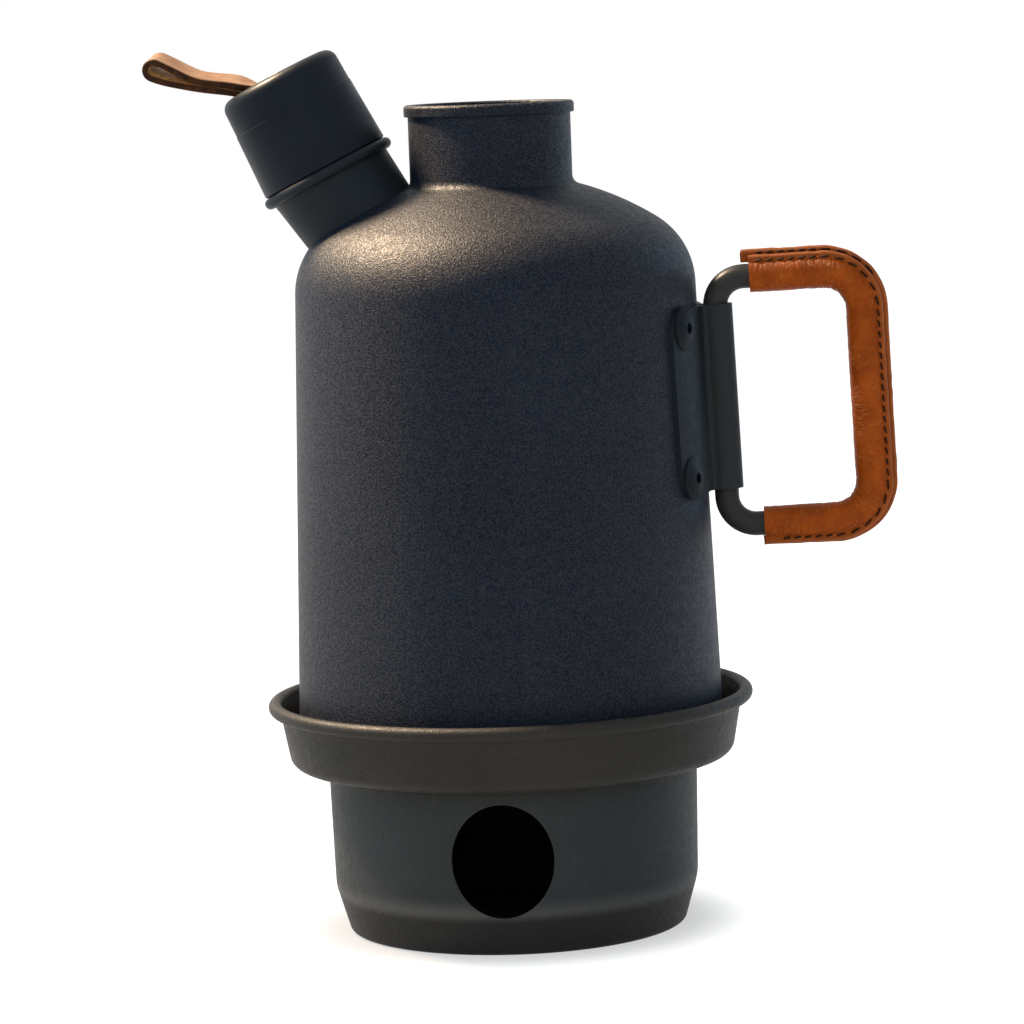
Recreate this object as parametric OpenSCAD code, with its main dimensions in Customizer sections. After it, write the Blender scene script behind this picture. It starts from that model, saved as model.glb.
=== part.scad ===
// Storm kettle: a water jacket round a chimney, standing in the drip tray of a separate fire bowl.
// Millimetres, +Z up. The origin is the centre of the fire bowl's underside.
// The handle points along +X, the spout along -X, and the air hole faces -Y.

/* [Fire bowl] */
// Outer radius at the top, inside the tray's collar
bowl_top_r = 67.5; // [64:0.5:69]
// Narrowing of the wall from the top to the knee
bowl_taper = 1; // [0.5:0.1:3]
// Narrowing of the toe from the knee to the floor
bowl_toe_in = 5; // [3:0.5:8]
// Height of the knee above the floor
bowl_knee_z = 17; // [12:1:22]
// Rounding of the toe
bowl_toe_round = 2.5; // [1.5:0.5:4]
// Gap between the flange rolled out over the tray's floor and the kettle's hem
flange_gap = 2; // [1:0.25:3]

/* [Air hole] */
// Width of the oval
air_hole_w = 36.4; // [30:0.2:38]
// Height of the oval
air_hole_h = 41; // [34:0.5:42]
// Height of the oval's centre above the floor
air_hole_z = 34.8; // [33:0.2:36]

/* [Drip tray] */
// Height of the tray floor's underside
tray_z = 61.3; // [58:0.5:66]
// Distance from the kettle's foot to the outside of the tray's wall at its foot
tray_room = 2.7; // [2.6:0.1:5]
// Widening of the tray's wall from foot to rim
tray_flare = 4.1; // [3:0.1:7]
// Height of the rim bead's centre above the floor's underside
tray_depth = 22.2; // [18:0.5:26]
// Outer rounding between the floor and the wall
tray_round = 5; // [3:0.5:6]
// Radius of the rolled rim bead
tray_bead_r = 2.5; // [1.5:0.25:3]
// Length of the collar turned down round the bowl
tray_collar_h = 3; // [2:0.5:4]

/* [Kettle shell] */
// Outer radius of the wall at its foot
shell_foot_r = 78; // [76:0.5:82]
// Outer radius where the wall meets the shoulder
shell_top_r = 72.6; // [70:0.5:76]
// Height of the wall from foot to shoulder
shell_wall_h = 171.5; // [160:1:185]
// Radius of the shoulder arc
shoulder_r = 29; // [24:1:34]
// Slope at which the shoulder turns into the crown, in degrees from level
shoulder_slope = 33; // [30:1:36]
// Radius of the crown arc
crown_r = 110; // [100:1:130]
// Radius of the curl at the foot
foot_curl_r = 2.6; // [2:0.2:3]
// Width of the hem turned in at the foot
hem_w = 4; // [3.5:0.25:4.5]
// Thickness of the sheet of all turned parts
sheet = 1.2; // [0.8:0.1:1.4]

/* [Chimney] */
// Outer radius of the neck
neck_r = 29.4; // [27:0.2:31]
// Height of the neck's rim above the crown's root
neck_h = 25.5; // [18:0.5:34]
// Fillet between the crown and the neck
neck_fillet = 3.5; // [2:0.5:5]
// Height of the lip rolled down over the neck
lip_h = 4.2; // [3:0.2:6]
// Thickness of the rolled lip
lip_t = 1.3; // [1:0.1:1.6]
// Width of the jacket's floor, from the flue to the wall's foot
jacket_w = 9.5; // [8:0.5:14]
// Height of the jacket's floor above the foot
jacket_floor_h = 7.5; // [6:0.5:10]
// Height of the flue's straight tube below the neck's rim
flue_tube_h = 38; // [34:1:44]

/* [Spout] */
// Distance of the mouth's centre inside the shoulder's radius
mouth_in = 13.4; // [12:0.2:16]
// Height of the mouth's centre above the top of the wall
mouth_h = 43; // [41.5:0.5:46]
// Lean of the mouth's axis from the vertical
mouth_lean = 26; // [23:0.5:28]
// Lean of the spout's tube from the vertical
spout_lean = 33.3; // [31:0.2:35]
// Outer radius of the tube at the mouth
spout_r = 22.6; // [21.5:0.1:23]
// Narrowing of the tube per millimetre towards the dome
spout_taper = 0.05; // [0.03:0.01:0.07]
// Wall of the tube
spout_wall = 1.5; // [1:0.1:2]
// Radius of the bead round the mouth
mouth_bead_r = 2; // [1.5:0.1:2.4]
// Radius of the pouring hole in the dome
pour_hole_r = 15.5; // [12:0.5:16.5]

/* [Stopper] */
// Overhang of the cap's foot over the tube
cap_over = 1.6; // [1:0.1:2.4]
// Narrowing of the cap from foot to top
cap_draft = 1.6; // [0.8:0.1:2.4]
// Height of the cap
cap_h = 37.8; // [34:0.5:44]
// Rounding of the cap's top edge
cap_round = 4.2; // [2.5:0.1:4.4]
// Width of the cap's rim round the dish in its top
dish_edge = 4.6; // [4.5:0.1:4.7]
// Depth of the dish
dish_depth = 5.2; // [4.6:0.2:5.2]
// Thickness of the cap's top under the dish
cap_top_t = 6; // [4:0.5:8]
// Depth of the socket that holds the plug
socket_h = 16; // [10:0.5:18]
// Step from the plug to its stem in the socket
plug_step = 3.2; // [2.5:0.1:5]
// Gap between the plug and the tube at the mouth
plug_gap = 0.9; // [0.7:0.1:1.5]
// Narrowing of the plug to its tip
plug_taper = 2.4; // [2.2:0.1:4]
// Depth of the plug in the spout
plug_h = 12; // [8:0.5:13]

/* [Pull strap] */
// Width of the strap
strap_w = 14; // [10:0.5:16]
// Thickness of one layer
strap_t = 2.5; // [2:0.1:3]
// Length of the tail behind the rivet
strap_tail = 8; // [6:0.5:9]
// Flat length from the rivet to the bend
strap_flat = 6; // [5.6:0.1:6.2]
// Inner radius of the bend
strap_bend_r = 5; // [4:0.2:5.4]
// Angle of the bend
strap_bend = 35; // [35:1:44]
// Length from the bend to the centre of the loop's end
strap_reach = 36; // [30:0.5:42]
// Further upward curl along that length
strap_curl = 15; // [5:1:30]
// Length of the open eye in the loop
strap_eye_l = 18; // [14:0.5:20]
// Height of the eye at the loop's end
strap_eye_h = 3.4; // [2:0.1:4]
// Twist of the strap where it passes the cap's rim
strap_twist = 12; // [0:1:14]
// Twist of the strap at the loop's end
strap_twist_end = 11; // [0:1:12]
// Length over which the strap takes up its twist, from the bend
strap_twist_l = 11; // [10:0.5:14]
// Length over which the strap settles again, past the cap's rim
strap_settle_l = 16; // [12:1:20]
// Radius of the strap rivet's shank
strap_rivet_r = 2; // [1.5:0.1:2.5]
// Radius of the strap rivet's head and of its washer
strap_rivet_head_r = 4.5; // [3.5:0.1:5.4]
// Height of the strap rivet's domed head
strap_rivet_head_h = 1.2; // [1:0.1:2.5]
// Radius of the strap rivet's set end
strap_rivet_end_r = 3; // [2.7:0.1:4]
// Thickness of the washer under the set end
washer_t = 1; // [0.6:0.1:1.5]
// Radius of the hollow round the washer
washer_room_r = 10.5; // [8:0.5:14]

/* [Handle] */
// Height of the handle's middle above the shell's foot
handle_h = 127; // [115:1:135]
// Gap between the sleeve and the shell's wall
sleeve_off = 0.3; // [0.2:0.1:1.5]
// Radius of the rod
rod_r = 4.4; // [3.5:0.1:4.6]
// Height of the loop between bar centres
loop_h = 90; // [86:1:100]
// Depth of the loop from the hinge axis to the outer bar
loop_w = 53; // [46:1:60]
// Bend radius next to the hinge
loop_in_r = 10.5; // [8:0.5:11]
// Bend radius at the outer corners
loop_out_r = 14; // [12:0.5:16]

/* [Bracket] */
// Distance of the bracket's ends inside the straight length of the hinge bar
bracket_short = 1; // [0.8:0.1:4]
// Height of the bracket's middle above the loop's middle
bracket_up = 2.2; // [0:0.2:2.4]
// Thickness of the bracket's sheet
bracket_t = 1.5; // [1:0.1:1.8]
// Half width of the bracket, square to the handle
bracket_half_w = 36.5; // [36:0.5:40]
// Width of the slot between the two flanges, behind the rod
bracket_slot_w = 4.4; // [3:0.2:5]
// Fillet between a flange and the sleeve
bracket_fillet = 1.8; // [1:0.1:2.5]
// Distance of the rivets from the bracket's side edges
rivet_edge_y = 9; // [8.2:0.1:10]
// Distance of the rivets from the bracket's top and bottom edges
rivet_edge_z = 6.7; // [6.5:0.1:10]
// Radius of the rivets' heads
rivet_head_r = 8; // [6.5:0.1:8]
// Height of the rivets' shallow domed heads
rivet_head_t = 1.9; // [1.2:0.1:2.2]
// Thickness of a head at its edge
rivet_edge_t = 0.25; // [0.2:0.05:0.6]
// Radius of the rivets' shanks
rivet_shank_r = 3.2; // [2.4:0.1:3.4]
// Radius of the rivets' swollen blind ends
rivet_bulb_r = 4.5; // [4:0.1:5]
// Radius of the hole that the mandrel leaves
rivet_hole_r = 2; // [1.2:0.1:2.1]
// Depth of the rivets' blind ends behind the shell
rivet_blind_h = 5; // [4:0.5:6]

/* [Grip] */
// Thickness of the leather round the rod
leather_t = 1.65; // [1.3:0.05:1.8]
// Distance from the hinge axis to the ends of the leather
grip_start = 13; // [12:0.5:16]
// Thickness of the flaps of the seam, each turned back on itself
grip_flap_t = 3.5; // [2.6:0.1:3.6]
// Rounding of the flaps' edges
grip_flap_round = 1; // [0.5:0.1:1.2]
// Width of the near flap
near_flap_w = 1.35; // [1:0.05:2]
// Width of the far flap
far_flap_w = 3.05; // [2:0.05:4]
// Extra length of the far flap at each end
far_flap_extra = 2.5; // [0.5:0.5:3]
// Distance of a row of stitches from where its flap comes into view
stitch_off = 0.5; // [0.5:0.05:0.8]
// Radius of the thread
thread_r = 0.45; // [0.3:0.05:0.5]

/* [Fits] */
// Gap between pieces that are pressed or rolled together
fit_gap = 0.1; // [0.05:0.05:0.15]
// Radial play of the rod in its sleeve
sleeve_play = 0.3; // [0.2:0.05:0.4]
// Radial play of the strap round its rivet
strap_play = 0.08; // [0.05:0.01:0.1]
// Gap between the stopper's cap and the mouth's bead
seat_gap = 0.2; // [0.1:0.05:0.3]

/* [Hidden] */

$fn = 96;
arc_steps = 8;
oval_steps = 64;
bead_fn = 32;
thread_fn = 16;
strap_bend_steps = 5;
strap_curl_steps = 10;
strap_fold_steps = 8;
far = 400;
sheet_grey = "#2b2e35";

tray_top = tray_z + sheet;
foot_z = tray_top;
shoulder_z = foot_z + shell_wall_h;
wall_lean = atan((shell_foot_r - shell_top_r) / shell_wall_h);
hem_r = shell_foot_r - hem_w;
flange_r = hem_r - flange_gap;
bowl_knee_r = bowl_top_r - bowl_taper;
bowl_toe_r = bowl_knee_r - bowl_toe_in;
bead_z = tray_z + tray_depth;
tray_foot_r = shell_foot_r + tray_room;
tray_rim_r = tray_foot_r + tray_flare;
tray_lean = atan(tray_flare / tray_depth);

// Centres of the arcs of the dome, in radius and height
shoulder_c = [shell_top_r - shoulder_r * cos(wall_lean), shoulder_z - shoulder_r * sin(wall_lean)];
crown_c = shoulder_c + (shoulder_r - crown_r) * [sin(shoulder_slope), cos(shoulder_slope)];
fillet_x = neck_r + neck_fillet;
fillet_slope = asin((fillet_x - crown_c[0]) / (crown_r + neck_fillet));
fillet_c = [fillet_x, crown_c[1] + (crown_r + neck_fillet) * cos(fillet_slope)];
neck_top = fillet_c[1] + neck_h;
rim_z = neck_top + fit_gap + lip_t;
flue_r = neck_r - 2 * sheet - fit_gap;
flue_base_r = shell_foot_r - jacket_w;
jacket_floor = foot_z + jacket_floor_h;
flue_cone_top = neck_top - flue_tube_h;

mouth = [mouth_in - shell_top_r, 0, shoulder_z + mouth_h];
cap_foot_r = spout_r + cap_over;
cap_top_r = cap_foot_r - cap_draft;
dish_r = cap_top_r - dish_edge;
plug_r = spout_r - spout_wall - plug_gap;
plug_tip_r = plug_r - plug_taper;
socket_r = plug_r - plug_step;
cap_foot = mouth_bead_r + seat_gap;
cap_top = cap_foot + cap_h;
dish_z = cap_top - dish_depth;
strap_top = dish_z + 2 * strap_t + fit_gap;
washer_z = dish_z - cap_top_t - washer_t;

// The doubled strap's centre line: flat from the tail's end, then round the bend, then along the curl
strap_mid_r = strap_bend_r + strap_t + fit_gap / 2;
strap_curl_r = strap_reach / strap_curl * 180 / PI;
strap_bend_s = strap_tail + strap_flat;
strap_curl_s = strap_bend_s + strap_mid_r * strap_bend * PI / 180;
strap_end_s = strap_curl_s + strap_reach;

handle_z = foot_z + handle_h;
sleeve_r = rod_r + sleeve_play + bracket_t;
standoff = sleeve_r + sleeve_off;
hinge_x = wall_r(handle_z) + standoff;
out_x = loop_w - loop_out_r;
out_z = loop_h / 2 - loop_out_r;
in_z = loop_h / 2 - loop_in_r;
bracket_z = handle_z + bracket_up;
bracket_h = 2 * (in_z - bracket_short);
rivet_y = bracket_half_w - rivet_edge_y;
rivet_z = bracket_h / 2 - rivet_edge_z;
rivet_angle = asin(rivet_y / wall_r(bracket_z));
grip_r = rod_r + fit_gap + leather_t;
near_edge = grip_r + near_flap_w;
far_edge = grip_r + far_flap_w;
near_stitch = sqrt(grip_r * grip_r - grip_flap_t * grip_flap_t) + stitch_off;
far_stitch = near_edge + stitch_off;

// Points on an arc round c, from angle a0 to angle a1
function arc(c, r, a0, a1) =
    [for (i = [0 : arc_steps]) let (a = a0 + (a1 - a0) * i / arc_steps) c + r * [cos(a), sin(a)]];

function reversed(list) = [for (i = [len(list) - 1 : -1 : 0]) list[i]];

// Outer radius of the shell's wall at height z
function wall_r(z) = shell_foot_r - (z - foot_z) * tan(wall_lean);

// The shell's outline from hem to neck, moved inwards by d
function shell_line(d) = concat(
    [[hem_r, foot_z + d]],
    arc([shell_foot_r - foot_curl_r * (tan(wall_lean) + 1 / cos(wall_lean)), foot_z + foot_curl_r],
        foot_curl_r - d, -90, wall_lean),
    arc(shoulder_c, shoulder_r - d, wall_lean, 90 - shoulder_slope),
    arc(crown_c, crown_r - d, 90 - shoulder_slope, 90 - fillet_slope),
    arc(fillet_c, neck_fillet + d, 270 - fillet_slope, 180),
    [[neck_r - d, neck_top]]);

// Everything inside the shell's outer face, moved inwards by d
module shell_space(d) {
    rotate_extrude() polygon(concat([[0, foot_z + d]], shell_line(d), [[0, neck_top]]));
}

module mouth_frame() {
    translate(mouth) rotate([0, -mouth_lean, 0]) children();
}

module handle_frame() {
    translate([hinge_x, 0, handle_z]) rotate([0, -wall_lean, 0]) children();
}

// Frame of a bracket rivet: z points out of the shell, with its zero on the shell's outer face
module rivet_frame(side, up) {
    z = bracket_z + up * rivet_z;
    rotate([0, 0, side * rivet_angle])
        translate([wall_r(z), 0, z]) rotate([0, 90 - wall_lean, 0]) children();
}

module all_rivet_frames() {
    for (side = [-1, 1], up = [-1, 1]) rivet_frame(side, up) children();
}

// Holes for the rivets, through the shell and the bracket
module rivet_holes() {
    all_rivet_frames() cylinder(h = 2 * rivet_blind_h, r = rivet_shank_r + fit_gap, center = true);
}

module fire_bowl() {
    toe_turn = atan((bowl_knee_r - bowl_toe_r) / bowl_knee_z);
    toe_run = bowl_toe_round * tan((90 - toe_turn) / 2);
    toe_c = [bowl_toe_r - toe_run, bowl_toe_round];
    flange_top = tray_top + sheet;
    wall_out = bowl_top_r - fit_gap;
    wall_in = wall_out - sheet;
    collar_z = tray_z - tray_collar_h;
    outer = concat([[0, 0]], arc(toe_c, bowl_toe_round, -90, -toe_turn),
        [[bowl_knee_r, bowl_knee_z], [wall_out, collar_z], [wall_out, tray_top], [flange_r, tray_top],
         [flange_r, flange_top], [wall_in, flange_top]]);
    inner = concat([[wall_in, collar_z], [bowl_knee_r - sheet, bowl_knee_z]],
        reversed(arc(toe_c, bowl_toe_round - sheet, -90, -toe_turn)), [[0, sheet]]);
    color(sheet_grey) difference() {
        rotate_extrude() polygon(concat(outer, inner));
        air_hole();
    }
}

// Oval cut straight through the front wall
module air_hole() {
    oval = [for (i = [0 : oval_steps - 1]) let (a = 360 * i / oval_steps)
        [air_hole_w / 2 * cos(a), air_hole_h / 2 * sin(a)]];
    rotate([90, 0, 0]) translate([0, air_hole_z, 0]) linear_extrude(flange_r) polygon(oval);
}

module drip_tray() {
    run = tray_round * tan((90 - tray_lean) / 2);
    corner = [tray_foot_r - run, tray_z + tray_round];
    wall_top = [tray_rim_r, bead_z];
    outer = concat([[bowl_top_r, tray_z - tray_collar_h], [bowl_top_r + sheet, tray_z - tray_collar_h],
                    [bowl_top_r + sheet, tray_z]],
        arc(corner, tray_round, -90, -tray_lean), [wall_top]);
    inner = concat([wall_top - [sheet, 0]], reversed(arc(corner, tray_round - sheet, -90, -tray_lean)),
        [[bowl_top_r, tray_top]]);
    color(sheet_grey) rotate_extrude() {
        polygon(concat(outer, inner));
        translate([tray_rim_r - sheet + tray_bead_r, bead_z]) circle(tray_bead_r, $fn = bead_fn);
    }
}

module outer_shell() {
    color(sheet_grey) difference() {
        rotate_extrude() polygon(concat(shell_line(0), reversed(shell_line(sheet))));
        pour_hole();
        rivet_holes();
    }
}

module pour_hole() {
    depth = 2 * spout_r;
    translate(mouth) rotate([0, -spout_lean, 0]) translate([0, 0, -depth])
        cylinder(h = depth, r = pour_hole_r);
}

module chimney() {
    skirt_r = wall_r(jacket_floor) - sheet / cos(wall_lean) - fit_gap;
    cone_side = [flue_base_r, jacket_floor];
    lip_in = neck_r + fit_gap;
    lip_out = lip_in + lip_t;
    round_c = [lip_out - lip_t, rim_z - lip_t];
    skirt_z = foot_z + foot_curl_r + fit_gap;
    outer = concat([cone_side, [skirt_r - sheet, jacket_floor], [skirt_r - sheet, skirt_z],
                    [skirt_r, skirt_z], [skirt_r, jacket_floor + sheet],
                    [flue_base_r + sheet, jacket_floor + sheet], [flue_r + sheet, flue_cone_top],
                    [flue_r + sheet, rim_z - lip_t], [lip_in, rim_z - lip_t], [lip_in, rim_z - lip_h],
                    [lip_out, rim_z - lip_h]],
        arc(round_c, lip_t, 0, 90), [[flue_r, rim_z], [flue_r, flue_cone_top]]);
    color(sheet_grey) rotate_extrude() polygon(outer);
}

module spout() {
    color("#20242b") difference() {
        union() {
            intersection() {
                spout_cone(spout_r);
                mouth_frame() translate([-far / 2, -far / 2, -far]) cube(far);
            }
            mouth_frame() rotate_extrude() translate([spout_r + mouth_bead_r / 2, 0])
                circle(mouth_bead_r, $fn = bead_fn);
        }
        spout_cone(spout_r - spout_wall);
        shell_space(0);
    }
}

// Cone along the spout's tube with radius r at the mouth
module spout_cone(r) {
    down = 2 * spout_r;
    up = spout_r / 2;
    translate(mouth) rotate([0, -spout_lean, 0]) translate([0, 0, -down])
        cylinder(h = down + up, r1 = r - down * spout_taper, r2 = r + up * spout_taper);
}

module stopper_cap() {
    lean = atan((cap_foot_r - cap_top_r) / cap_h);
    round_c = [cap_top_r - cap_round, cap_top - cap_round];
    line = concat([[socket_r, cap_foot], [cap_foot_r, cap_foot]], arc(round_c, cap_round, lean, 90),
        [[dish_r, cap_top], [dish_r, dish_z], [strap_rivet_r + fit_gap, dish_z],
         [strap_rivet_r + fit_gap, dish_z - cap_top_t], [washer_room_r, dish_z - cap_top_t],
         [washer_room_r, cap_foot + socket_h], [socket_r, cap_foot + socket_h]]);
    color("#20242b") mouth_frame() rotate_extrude() polygon(line);
}

module stopper_plug() {
    stem_r = socket_r - fit_gap;
    color("#33363a") mouth_frame() rotate_extrude()
        polygon([[0, -plug_h], [plug_tip_r, -plug_h], [plug_r, cap_foot], [stem_r, cap_foot],
                 [stem_r, cap_foot + socket_h], [0, cap_foot + socket_h]]);
}

module strap_rivet() {
    head_z = strap_top + fit_gap;
    head_h = strap_rivet_head_h;
    ball_r = (strap_rivet_head_r * strap_rivet_head_r + head_h * head_h) / (2 * head_h);
    end_z = washer_z - fit_gap;
    color("#c9b684") mouth_frame() {
        translate([0, 0, end_z]) cylinder(h = head_z - end_z, r = strap_rivet_r);
        translate([0, 0, end_z - washer_t]) cylinder(h = washer_t, r = strap_rivet_end_r);
        intersection() {
            translate([0, 0, head_z + head_h - ball_r]) sphere(ball_r);
            translate([0, 0, head_z]) cylinder(h = head_h, r = strap_rivet_head_r);
        }
    }
}

module rivet_washer() {
    color("#c9b684") mouth_frame() translate([0, 0, washer_z]) difference() {
        cylinder(h = washer_t, r = strap_rivet_head_r);
        translate([0, 0, -washer_t]) cylinder(h = 3 * washer_t, r = strap_rivet_r + fit_gap);
    }
}

// Step along an arc of radius r from slope a to slope b
function arc_step(r, a, b) = r * [sin(b) - sin(a), cos(a) - cos(b)];

// Slope, middle, roll and half thickness of the doubled strap at distance s from the tail's end
function strap_slope(s) =
    min(strap_bend, max(0, s - strap_bend_s) / strap_mid_r * 180 / PI)
    + strap_curl * max(0, s - strap_curl_s) / strap_reach;
function strap_mid(s) = let (a = strap_slope(s), bent = min(a, strap_bend))
    [min(s, strap_bend_s) - strap_tail, dish_z + strap_t + fit_gap / 2]
    + arc_step(strap_mid_r, 0, bent) + arc_step(strap_curl_r, bent, a);
function strap_taken(s) = ease((s - strap_bend_s) / strap_twist_l);
function strap_eased(s) = ease((s - strap_bend_s - strap_twist_l) / strap_settle_l);
function strap_roll(s) = strap_twist * strap_taken(s) + (strap_twist_end - strap_twist) * strap_eased(s);
// Lift that keeps the lower edge clear of the cap's rim
function strap_lift(s) = strap_w / 2 * sin(strap_twist) * strap_taken(s) * (1 - strap_eased(s));
function ease(t) = let (u = max(0, min(1, t))) u * u * (3 - 2 * u);
function strap_half(s) =
    (strap_t + fit_gap + strap_eye_h * ease(1 - (strap_end_s - s) / strap_eye_l)) / 2;

// Point of the strap: t along it, n off its middle, w across it
function strap_point(s, t, n, w) =
    let (m = strap_mid(s), a = strap_slope(s), r = strap_roll(s),
        rise = n * cos(r) + w * sin(r) + strap_lift(s))
    [-(m[0] + t * cos(a) - rise * sin(a)), w * cos(r) - n * sin(r), m[1] + t * sin(a) + rise * cos(a)];

// Corners of the strip's section: at angle b of the fold, -90 on the lower layer and 90 on the upper
function strap_section(s, b) = [
    for (side = [[-1, -1], [1, -1], [1, 1], [-1, 1]])
        let (h = strap_half(s) + side[0] * strap_t / 2)
        strap_point(s, h * cos(b), h * sin(b), side[1] * strap_w / 2)];

module pull_strap() {
    bend_l = strap_curl_s - strap_bend_s;
    runs = concat([0, strap_tail],
        [for (i = [0 : strap_bend_steps]) strap_bend_s + bend_l * i / strap_bend_steps],
        [for (i = [1 : strap_curl_steps]) strap_curl_s + strap_reach * i / strap_curl_steps]);
    turn = [for (i = [1 : strap_fold_steps - 1]) -90 + 180 * i / strap_fold_steps];
    rings = concat([for (s = runs) strap_section(s, -90)],
        [for (b = turn) strap_section(strap_end_s, b)],
        [for (s = reversed(runs)) strap_section(s, 90)]);
    last = 4 * (len(rings) - 1);
    points = [for (ring = rings, p = ring) p];
    sides = [for (i = [0 : len(rings) - 2], k = [0 : 3])
        let (a = 4 * i + k, b = 4 * i + (k + 1) % 4) each [[a, b, b + 4], [a, b + 4, a + 4]]];
    ends = [[2, 1, 0], [3, 2, 0], [last, last + 1, last + 2], [last, last + 2, last + 3]];
    color("#a5713d") mouth_frame() difference() {
        polyhedron(points, concat(sides, ends));
        translate([0, 0, dish_z - strap_t])
            cylinder(h = strap_top - dish_z + 2 * strap_t, r = strap_rivet_r + strap_play);
    }
}

module handle_bracket() {
    color(sheet_grey) difference() {
        union() {
            bracket_flanges();
            handle_frame() translate([0, 0, bracket_up])
                linear_extrude(bracket_h, center = true) bracket_sleeve();
        }
        shell_space(0);
        handle_frame() {
            cylinder(h = far, r = rod_r + sleeve_play, center = true);
            translate([-far, -bracket_slot_w / 2, -far / 2]) cube([far, bracket_slot_w, far]);
        }
        rivet_holes();
    }
}

// A layer of sheet on the shell's wall, cut to the outline of the two flanges
module bracket_flanges() {
    low = bracket_z - bracket_h / 2;
    high = bracket_z + bracket_h / 2;
    lobe_r = rivet_edge_y;
    lobe_z = bracket_h / 2 - lobe_r;
    intersection() {
        rotate_extrude() polygon([[wall_r(low), low], [wall_r(low) + bracket_t, low],
                                  [wall_r(high) + bracket_t, high], [wall_r(high), high]]);
        translate([0, 0, bracket_z]) rotate([90, 0, 90]) linear_extrude(far) {
            square([2 * rivet_y, bracket_h], center = true);
            square([2 * bracket_half_w, 2 * lobe_z], center = true);
            for (side = [-1, 1], up = [-1, 1]) translate([side * rivet_y, up * lobe_z]) circle(lobe_r);
        }
    }
}

// Section of the sleeve, with a fillet to each flange
module bracket_sleeve() {
    face_x = bracket_t - standoff;
    fillet_cx = face_x + bracket_fillet;
    fillet_cy = sqrt(pow(sleeve_r + bracket_fillet, 2) - pow(fillet_cx, 2));
    circle(sleeve_r);
    for (side = [-1, 1]) difference() {
        polygon([[-standoff, 0], [0, 0], [fillet_cx, side * fillet_cy], [face_x, side * fillet_cy],
                 [-standoff, side * fillet_cy]]);
        translate([fillet_cx, side * fillet_cy]) circle(bracket_fillet);
    }
}

module bracket_rivet(side, up) {
    root = 2 * sheet;
    head_z = bracket_t + rivet_head_t;
    dome_h = rivet_head_t - rivet_edge_t;
    ball_r = (rivet_head_r * rivet_head_r + dome_h * dome_h) / (2 * dome_h);
    color(sheet_grey) difference() {
        union() {
            difference() {
                rivet_frame(side, up) intersection() {
                    cylinder(h = 2 * head_z, r = rivet_head_r);
                    translate([0, 0, head_z - ball_r]) sphere(ball_r);
                }
                bracket_layer();
            }
            rivet_frame(side, up) translate([0, 0, -root])
                cylinder(h = root + head_z - rivet_head_t / 2, r = rivet_shank_r);
            intersection() {
                rivet_frame(side, up) translate([0, 0, -rivet_blind_h])
                    cylinder(h = rivet_blind_h, r = rivet_bulb_r);
                shell_space(sheet);
            }
        }
        rivet_frame(side, up) cylinder(h = far, r = rivet_hole_r, center = true);
    }
}

// The shell and the flange layer on it, as one solid that the rivets' heads sit on
module bracket_layer() {
    reach = bracket_h / 2 + rivet_head_r;
    low = bracket_z - reach;
    high = bracket_z + reach;
    rotate_extrude() polygon([[0, low], [wall_r(low) + bracket_t, low],
                              [wall_r(high) + bracket_t, high], [0, high]]);
}

module rivet_mandrels() {
    stub_r = rivet_hole_r - fit_gap;
    head_h = stub_r;
    color("#6c6f74") all_rivet_frames() {
        translate([0, 0, -rivet_blind_h - fit_gap]) cylinder(h = rivet_blind_h, r = stub_r);
        translate([0, 0, -rivet_blind_h - fit_gap - head_h]) cylinder(h = head_h, r = rivet_shank_r);
    }
}

// A quarter turn of a section given as reach from the bend's centre and height off the loop's plane
module quarter_turn(x, z, start) {
    translate([x, 0, z]) rotate([90, 0, 0]) rotate([0, 0, start]) rotate_extrude(angle = 90) children();
}

module handle_rod() {
    bar_x = loop_in_r;
    color("#3b3d3f") handle_frame() {
        cylinder(h = 2 * in_z, r = rod_r, center = true);
        translate([loop_w, 0, 0]) cylinder(h = 2 * out_z, r = rod_r, center = true);
        for (end = [-1, 1]) translate([bar_x, 0, end * loop_h / 2]) rotate([0, 90, 0])
            cylinder(h = out_x - bar_x, r = rod_r);
        quarter_turn(loop_in_r, in_z, 90) translate([loop_in_r, 0]) circle(rod_r);
        quarter_turn(loop_in_r, -in_z, 180) translate([loop_in_r, 0]) circle(rod_r);
        quarter_turn(out_x, out_z, 0) translate([loop_out_r, 0]) circle(rod_r);
        quarter_turn(out_x, -out_z, 270) translate([loop_out_r, 0]) circle(rod_r);
    }
}

// Sweeps a section along the gripped part of the loop. In the section, x points away from the loop's
// inside and y towards the rear. The bars run on past the grip's start by the extra length.
module along_grip(extra) {
    bar_l = out_x - grip_start + extra;
    for (end = [1, -1]) mirror([0, 0, end < 0 ? 1 : 0]) {
        translate([out_x, 0, out_z + loop_out_r]) rotate([0, -90, 0]) linear_extrude(bar_l) children();
        translate([out_x, 0, out_z]) rotate([-90, 0, 0]) rotate([0, 0, -90]) rotate_extrude(angle = 90)
            translate([loop_out_r, 0]) children();
        translate([loop_w, 0, 0]) linear_extrude(out_z) children();
    }
}

// Section of a flap, from inside the leather tube to its rounded edge
module flap_section(edge, side) {
    r = grip_flap_round;
    root = grip_r - 3 * leather_t / 4;
    scale([1, side]) polygon(concat([[root, 0]], arc([edge - r, r], r, -90, 0),
        arc([edge - r, grip_flap_t - r], r, 0, 90), [[root, grip_flap_t]]));
}

module grip_leather() {
    color("#9a4f1c") handle_frame() difference() {
        union() {
            along_grip(0) {
                circle(grip_r);
                flap_section(near_edge, -1);
            }
            along_grip(far_flap_extra) flap_section(far_edge, 1);
        }
        along_grip(far_flap_extra + grip_r) circle(rod_r + fit_gap);
    }
}

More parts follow.
